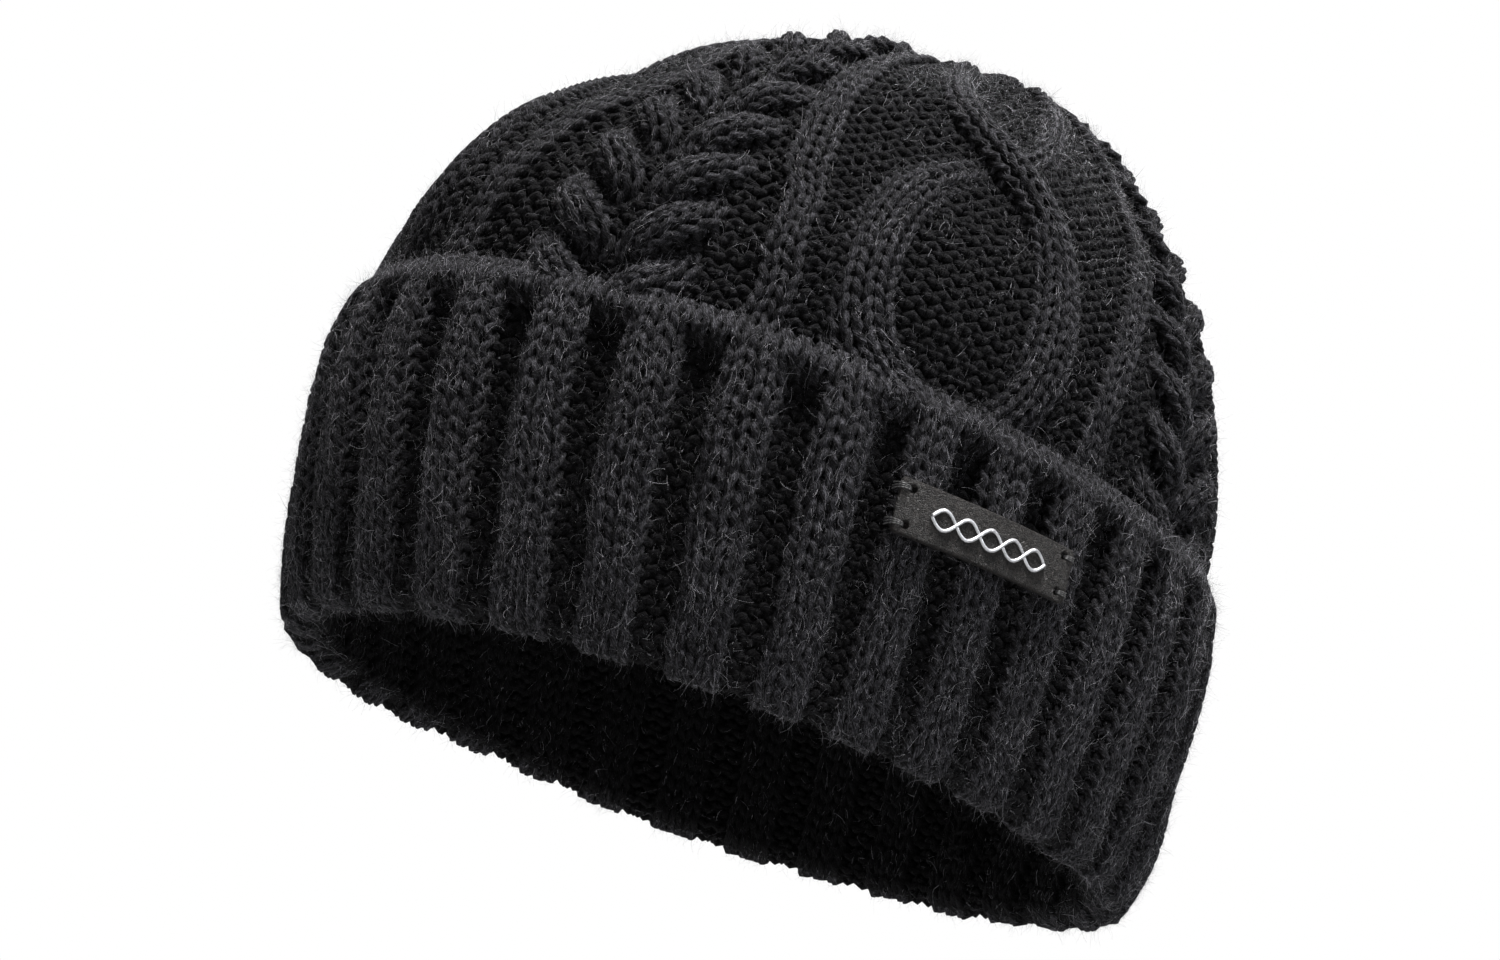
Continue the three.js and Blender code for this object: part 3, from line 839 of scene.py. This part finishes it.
def loose_fibres(name, yarn, count, mean_length, longest, thickness, rise, lean):
    """Hairs on the yarn's outer side, most where the yarn is lightest and fewest where its colour holds
    painted shade.
    """
    points, outs, radii, tone, *_ = yarn.joined()
    loops, steps = points.shape[:2]
    share = tone**TONE_POWER * (1 + TOP_FUZZ * smooth(*TOP_FUZZ_LEVELS, points[:, 0, 2]))
    pick, step = rng.choice(loops, count, p=share / share.sum()), rng.integers(0, steps - 1, count)
    column = unit(points[pick, steps // 2] - (points[pick, 0] + points[pick, -1]) / 2)
    along = points[pick, step + 1] - points[pick, step]
    tangent, out = unit(along), outs[pick, step]
    angle = rng.uniform(-FIBRE_SIDES, FIBRE_SIDES, (count, 1))
    normal = out * np.cos(angle) + np.cross(out, tangent) * np.sin(angle)
    root = points[pick, step] + along * rng.random((count, 1))
    root = root + normal * radii[pick, step][:, None] * FIBRE_ROOT
    length = np.clip(rng.exponential(mean_length, count), SHORTEST, longest)[:, None] / (FIBRE_POINTS - 1)
    heading = normal * rng.uniform(*rise, (count, 1)) + tangent * rng.normal(0, lean[0], (count, 1))
    heading = heading + column * rng.normal(0, lean[1], (count, 1)) + rng.normal(0, ASIDE, (count, 3))
    curl = rng.normal(0, CURL, (count, 3))
    path = [root]
    for _ in range(FIBRE_POINTS - 1):
        heading = unit(heading)
        path.append(path[-1] + heading * length)
        heading = heading + curl + rng.normal(0, WAVER, (count, 3))
    path = np.stack(path, 1)
    hairs = bpy.data.hair_curves.new(name)
    hairs.add_curves([FIBRE_POINTS] * count)
    hairs.attributes["position"].data.foreach_set("vector", (path * MM).astype(np.float32).ravel())
    taper = np.linspace(1, 0.4, FIBRE_POINTS) * thickness * MM
    width = hairs.attributes.get("radius") or hairs.attributes.new("radius", "FLOAT", "POINT")
    width.data.foreach_set("value", np.tile(taper, count).astype(np.float32))
    hairs.materials.append(FIBRE)
    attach(put(name, hairs), "root")


# ---- The pieces

CUFF_SHELL, CROWN_SHELL = (480, 70), (288, 60)  # faces round them and up them


def build_cuff():
    yarn, place, columns, rows = cuff_fabric()
    dress(tube_mesh("cuff_knit", yarn), WOOL, "wool_knit", "cuff_outer", "cuff_fold", "band_inner")
    dress(shell("cuff_middle", place, columns, rows, *CUFF_SHELL), CREVICE_SHADE, "wool_knit", "band_inner")
    return yarn


def build_crown():
    yarn, place = crown_ground()
    crown_cables(yarn)
    dress(tube_mesh("crown_knit_yarns", yarn), WOOL, "wool_knit", "crown_knit")
    middle = shell("crown_middle", place, CROWN_COLUMNS, CROWN_ROWS, *CROWN_SHELL)
    dress(middle, CREVICE_SHADE, "wool_knit", "crown_knit")
    return yarn


CUFF_YARN = build_cuff()
CROWN_YARN = build_crown()
for part, yarn in (("cuff", CUFF_YARN), ("crown", CROWN_YARN)):
    loose_fibres(part + "_felt", yarn, *FELT)
    loose_fibres(part + "_strays", yarn, *STRAYS)


# ---- The patch

PATCH_TURN, PATCH_TILT = radians(-18.9), radians(2.7)
PATCH_LEVEL = 48.1
PATCH_SIZE = (42.0, 10.8)
PATCH_FACE, PATCH_THICKNESS = 1.5, 1.2  # its face's height over the cuff
PATCH_CORNER, PATCH_LIP = 0.9, 0.3  # radii of its corners and its edge
PATCH_CELL = 0.22  # size of the faces of its grid
TACK_INSET, TACK_LEVEL = 2.6, 3.5  # of the holes, from the short edge and the middle
TACK_REACH = 0.9  # how far past the edge the threads end
HOLE_BOTTOM, HOLE_RADIUS, HOLE_DEPTH = 0.495, 0.9, 0.9
MEAN_RADIUS = HALF_WIDTH * MEAN_OVAL


def on_patch(x, y, out):
    """Points from their place along and up the patch and their height above the cuff."""
    level = PATCH_LEVEL + x * sin(PATCH_TILT) + y * cos(PATCH_TILT)
    round_ = x * cos(PATCH_TILT) - y * sin(PATCH_TILT)
    return on_head(PATCH_TURN + round_ / MEAN_RADIUS, outside(level) + out, level)


def patch_height(x, y):
    """Height of the patch's face: rounded at its edge, with four holes near its corners."""
    to_edge = np.minimum(PATCH_SIZE[0] / 2 - np.abs(x), PATCH_SIZE[1] / 2 - np.abs(y))
    short = 1 - np.clip(to_edge / PATCH_LIP, 0, 1)
    to_hole = np.hypot(np.abs(x) - PATCH_SIZE[0] / 2 + TACK_INSET, np.abs(y) - TACK_LEVEL)
    hole = HOLE_DEPTH * (1 - smooth(HOLE_BOTTOM, HOLE_RADIUS, to_hole))
    return PATCH_FACE - PATCH_LIP * (1 - np.sqrt(1 - short**2)) - hole


def build_patch():
    """A thin plate with round corners: two grids joined at their rims."""
    wide, tall = PATCH_SIZE[0] / 2, PATCH_SIZE[1] / 2
    columns, rows = (int(size / PATCH_CELL) for size in PATCH_SIZE)
    x, y = np.meshgrid(np.linspace(-wide, wide, columns), np.linspace(-tall, tall, rows), indexing="ij")
    height = patch_height(x, y)
    over_x, over_y = np.abs(x) - wide + PATCH_CORNER, np.abs(y) - tall + PATCH_CORNER
    in_corner = (over_x > 0) & (over_y > 0)
    shrink = np.maximum(over_x, over_y) / np.maximum(np.hypot(over_x, over_y), 1e-6)
    x = np.where(in_corner, np.sign(x) * (wide - PATCH_CORNER + over_x * shrink), x)
    y = np.where(in_corner, np.sign(y) * (tall - PATCH_CORNER + over_y * shrink), y)
    back = np.full_like(height, PATCH_FACE - PATCH_THICKNESS)
    verts = np.concatenate([on_patch(x, y, out).reshape(-1, 3) for out in (height, back)])
    at = np.arange(columns * rows).reshape(columns, rows)
    face = np.stack([at[:-1, :-1], at[1:, :-1], at[1:, 1:], at[:-1, 1:]], -1).reshape(-1, 4)
    rim = np.concatenate([at[:-1, 0], at[-1, :-1], at[:0:-1, -1], at[0, :0:-1]])
    after = np.roll(rim, -1)
    sides = np.stack([rim, rim + at.size, after + at.size, after], -1)
    piece = quad_mesh("patch", verts, np.concatenate([face, face[:, ::-1] + at.size, sides]))
    dress(piece, LEATHER, "patch_leather", "leather_patch")


def smoothed(points, steps, passes):
    """A path through points, made even and rounded."""
    """A path through points, made even and rounded."""
    points = np.array(points, float)
    at = lengths(points)
    path = read_path(np.linspace(0, at[-1], steps), at, points)
    for _ in range(passes):
        path[1:-1] = (path[:-2] + 2 * path[1:-1] + path[2:]) / 4
    return path


# How light single strands of yarn are, from 0 to 1.
STRAND_TONE = 0.5


def strand(yarn, path, out, radius):
    """Adds one long yarn along a path."""
    yarn.add(path[None], np.broadcast_to(out, path.shape)[None], radius, STRAND_TONE, np.zeros(1),
             np.zeros(1), np.ones(1))
    yarn.end_strips(1)


ORNAMENT = (28.0, 4.6)  # its length and height
ORNAMENT_LINE, HALF_TWISTS = 0.38, 5  # radius of its lines
ORNAMENT_LIFT, ORNAMENT_CROSS = 0.1, 0.16  # over the patch, and over each other


def build_ornament():
    """A silver twist of two lines, printed on the patch."""
    share = np.linspace(0, 1, 161)
    yarn = Yarn()
    x = (share - 0.5) * (ORNAMENT[0] - 2 * ORNAMENT_LINE)
    for side in (-1, 1):
        y = side * (ORNAMENT[1] / 2 - ORNAMENT_LINE) * np.sin(HALF_TWISTS * pi * share)
        lift = ORNAMENT_CROSS * side * np.cos(HALF_TWISTS * pi * share)
        path = on_patch(x, y, PATCH_FACE + ORNAMENT_LIFT + lift)
        strand(yarn, path, on_patch(x, y, PATCH_FACE + 1) - path, ORNAMENT_LINE)
    dress(tube_mesh("ornament", yarn), FOIL, "silver_foil", "patch_ornament")


TACK_RADIUS = 0.13
# The route of a thread: how far past the patch's short edge, and how high over the cuff.
TACK_ROUTE = ((0.3 - TACK_INSET, PATCH_FACE - 0.6), (0.8 - TACK_INSET, PATCH_FACE + 0.15),
              (-0.3, PATCH_FACE + 0.3), (0.3, PATCH_FACE - 0.2), (TACK_REACH - 0.2, 0.2),
              (TACK_REACH, -1.2))
# How far each thread is from the middle one in the hole, and how much more at its other end.
TACK_THREADS = ((-0.4, -0.2), (0.0, 0.05), (0.4, 0.3))
TACK_FAN = (0.3, 1)  # shares of that at the two ends


def build_tack(side, row, node):
    """Threads side by side, from a hole in the patch over its short edge into the knit."""
    edge, y = side * PATCH_SIZE[0] / 2, row * TACK_LEVEL
    yarn = Yarn()
    for apart, spread in TACK_THREADS:
        fan = np.linspace(*TACK_FAN, len(TACK_ROUTE))
        points = [on_patch(edge + side * past, y + (apart + spread) * wide, height)
                  for (past, height), wide in zip(TACK_ROUTE, fan)]
        out = on_patch(edge, y, 1.0) - on_patch(edge, y, 0.0)
        strand(yarn, smoothed(points, 25, 3), out, TACK_RADIUS)
    dress(tube_mesh("tack_" + node.removeprefix("patch_tack_"), yarn), THREAD, "tack_thread", node)


# ---- The knot, the seam and the label

KNOT_WINDINGS = ((2.75, 0.0, -0.6), (1.75, 1.9, 0.5))  # turns, starting angle and height
KNOT_SPIRAL = (0.8, 0.05)  # shares of its reach where they start and end
KNOT_UNEVEN, KNOT_HEAVE = 0.12, 0.7
KNOT_YARN = 0.95 * YARN_RADIUS


def build_gather_yarn():
    """The gathering yarn's knot, drawn down into the crown's eyelet."""
    low, high = box_mm("gather_yarn")
    centre, reach = (low + high) / 2, (high - low)[0] / 2 - YARN_RADIUS
    yarn = Yarn()
    for turns, start, lift in KNOT_WINDINGS:
        a = np.linspace(0, turns * TAU, 90)
        wound = reach * np.linspace(*KNOT_SPIRAL, len(a)) * (1 + KNOT_UNEVEN * np.sin(2.3 * a + start))
        path = np.stack([wound * np.cos(a + start), wound * np.sin(a + start),
                         lift + KNOT_HEAVE * np.sin(a / 2 + start)], -1) + centre
        strand(yarn, path, np.array([0.0, 0.0, 1.0]), KNOT_YARN)
    dress(tube_mesh("gathering_knot", yarn), WOOL, "wool_yarn", "gather_yarn")


SEAM_SWING, SEAM_RISE, SEAM_PITCH = 1.8, 0.5, 3.6  # of the yarn wound over the edges
SEAM_YARN, EDGE_YARN = 0.75 * YARN_RADIUS, 0.7 * YARN_RADIUS
SEAM_DEPTH = 12.7  # from the hat's outside to the seam, in the band
SEAM_INSIDE = 3.2  # from the crown's middle to the seam's
SEAM_EDGES = (1.0, 0.35)  # how far aside and in the joined edges lie


def build_back_seam():
    """A whipped seam up the back, inside: one yarn wound over the joined edges."""
    low, high = box_mm("back_seam")
    band = np.linspace(low[2], FOOT - 6, 40)
    s = np.linspace(CROWN.at_level(FOOT + 8), CROWN.at_level(high[2]), 60)
    spine = np.concatenate([on_head(pi / 2, outside(band) - SEAM_DEPTH, band),
                            CROWN.place(pi / 2, s, -SEAM_INSIDE)])
    spine = smoothed(spine, 700, 60)
    side = np.array([1.0, 0.0, 0.0])
    out = unit(np.cross(np.gradient(spine, axis=0), side))
    a = lengths(spine)[:, None] / SEAM_PITCH * TAU
    yarn = Yarn()
    strand(yarn, spine + SEAM_SWING * np.cos(a) * side + SEAM_RISE * np.sin(a) * out, out, SEAM_YARN)
    for edge in (-1, 1):
        strand(yarn, spine + side * edge * SEAM_EDGES[0] - out * SEAM_EDGES[1], out, EDGE_YARN)
    dress(tube_mesh("whipped_seam", yarn), WOOL, "wool_yarn", "back_seam")


SEAM_LABEL_GAP = 3.5  # from the seam to the label's edge
LABEL_WIDE = 18.0
LABEL_DEPTH = SEAM_DEPTH + 0.2  # from the hat's outside to its middle
LABEL_HALF, LABEL_GAP = 0.14, 0.3  # half of the tape's thickness and of its fold's gap
LABEL_FOLD = 0.6  # from its bend's middle to the foot
LABEL_DROOP = 0.35


def build_label():
    """A folded satin tape, sewn in at its top. Its section is a closed loop, drawn out sideways."""
    low, high = box_mm("care_label")
    tall = high[2] - low[2]
    middle_turn = pi / 2 + (SEAM_LABEL_GAP + LABEL_WIDE / 2) / MEAN_RADIUS
    bend_at = tall - LABEL_FOLD
    down = np.linspace(0, bend_at, 16)
    around = np.linspace(-pi / 2, pi / 2, 7)
    centre = np.concatenate([
        np.stack([down, np.full(16, -LABEL_GAP)], -1),
        np.stack([bend_at + LABEL_GAP * np.cos(around), LABEL_GAP * np.sin(around)], -1)[1:-1],
        np.stack([down[::-1], np.full(16, LABEL_GAP)], -1)])
    along = unit(np.gradient(centre, axis=0))
    thick = LABEL_HALF * np.stack([along[:, 1], -along[:, 0]], -1)
    fall, off = np.concatenate([centre + thick, (centre - thick)[::-1]]).T
    level = high[2] - fall
    rings = []
    for x in np.linspace(-0.5, 0.5, 15):
        droop = LABEL_DROOP * sin(5 * x + 0.6) * (fall / tall) ** 2
        turn = middle_turn + x * LABEL_WIDE / MEAN_RADIUS
        rings.append(on_head(turn, outside(level) - LABEL_DEPTH - off - droop, level))
    at = np.arange(len(rings) * len(fall)).reshape(len(rings), len(fall))
    after = np.roll(at, -1, 1)
    sides = np.stack([at[:-1], after[:-1], after[1:], at[1:]], -1).reshape(-1, 4)
    j = np.arange(len(fall) // 2 - 1)
    cap = np.stack([j, len(fall) - 1 - j, len(fall) - 2 - j, j + 1], -1)
    faces = np.concatenate([sides, cap, cap[:, ::-1] + at[-1, 0]])
    dress(quad_mesh("satin_label", np.concatenate(rings), faces), SATIN, "label_satin", "care_label")


build_patch()
build_ornament()
for side, side_name in ((-1, "front"), (1, "rear")):
    for row, row_name in ((-1, "lower"), (1, "upper")):
        build_tack(side, row, f"patch_tack_{side_name}_{row_name}")
build_gather_yarn()
build_back_seam()
build_label()


# ---- Light, floor and camera

LIGHTS_AT = 0.08  # level that the lights face, m
# Name, azimuth and elevation in degrees, distance and size in metres, power in watts and colour.
LIGHTS = (("key", 34, 72, 1.2, 0.45, 52, (1.0, 0.99, 0.98)),
          ("fill", 100, 25, 1.3, 0.6, 8, (0.93, 0.96, 1.0)),
          ("top", 215, 60, 1.3, 0.6, 26, (0.97, 0.98, 1.0)))
AMBIENT = 0.30  # light of the surroundings, which look plain white
FLOOR_SIZE, FLOOR_LEVEL, FLOOR_GLOW = 40.0, -0.35, 0.70


def to_camera_side(azimuth, elevation):
    """Direction from the hat towards an azimuth and elevation in radians, 0 being the front."""
    return Vector((sin(azimuth) * cos(elevation), -cos(azimuth) * cos(elevation),
                   sin(elevation)))


def area_light(name, azimuth, elevation, distance, size, power, colour):
    away = to_camera_side(radians(azimuth), radians(elevation))
    data = bpy.data.lights.new(name, "AREA")
    data.shape, data.size, data.energy, data.color = "DISK", size, power, colour
    lamp = put(name, data)
    lamp.location = Vector((0, 0, LIGHTS_AT)) + away * distance
    lamp.rotation_euler = away.to_track_quat("Z", "Y").to_euler()


def studio():
    world = bpy.data.worlds.new("studio")
    world.use_nodes = True
    tree = world.node_tree
    rays = tree.nodes.new("ShaderNodeLightPath")
    strength = tree.nodes.new("ShaderNodeMapRange")
    strength.inputs["To Min"].default_value, strength.inputs["To Max"].default_value = AMBIENT, 1.0
    tree.links.new(rays.outputs["Is Camera Ray"], strength.inputs["Value"])
    tree.links.new(strength.outputs[0], tree.nodes["Background"].inputs["Strength"])
    tree.nodes["Background"].inputs["Color"].default_value = (1, 1, 1, 1)
    bpy.context.scene.world = world
    bpy.context.scene.view_settings.view_transform = "Standard"
    for light in LIGHTS:
        area_light(*light)
    corners = [(x * FLOOR_SIZE, y * FLOOR_SIZE, FLOOR_LEVEL)
               for x, y in ((-1, -1), (1, -1), (1, 1), (-1, 1))]
    mesh = bpy.data.meshes.new("floor")
    mesh.from_pydata(corners, [], [(0, 1, 2, 3)])
    mesh.materials.append(paper(Looks("floor", (0.42, 0.42, 0.42), (0.46, 0.46, 0.46)), FLOOR_GLOW))
    put("floor", mesh)


LENS, SENSOR = 85.0, 36.0
AZIMUTH, ELEVATION, ROLL = (radians(angle) for angle in (45.0, -13.71, 18.76))
DISTANCE = 0.754
AIM_LEVEL = 0.0645  # level that the camera aims at, m
AIM_RIGHT, AIM_UP = -0.0101, 0.0041  # how far it stands aside of that, m


def add_camera():
    """Looks at the hat from a little under its rim, with the hat leaning to the right."""
    back = to_camera_side(AZIMUTH, ELEVATION)
    level = Vector((cos(AZIMUTH), sin(AZIMUTH), 0))
    upright = back.cross(level)
    right = level * cos(ROLL) + upright * sin(ROLL)
    up = upright * cos(ROLL) - level * sin(ROLL)
    shift = float(bow(0.0)) * sqrt(0.5)
    aim = Vector(((AXIS[0] + shift) * MM, (AXIS[1] + shift) * MM, AIM_LEVEL))
    data = bpy.data.cameras.new("camera")
    data.lens, data.sensor_width = LENS, SENSOR
    camera = put("camera", data)
    place = aim + back * DISTANCE + right * AIM_RIGHT + up * AIM_UP
    camera.matrix_world = Matrix.Translation(place) @ Matrix((right, up, back)).transposed().to_4x4()
    bpy.context.scene.camera = camera


studio()
add_camera()
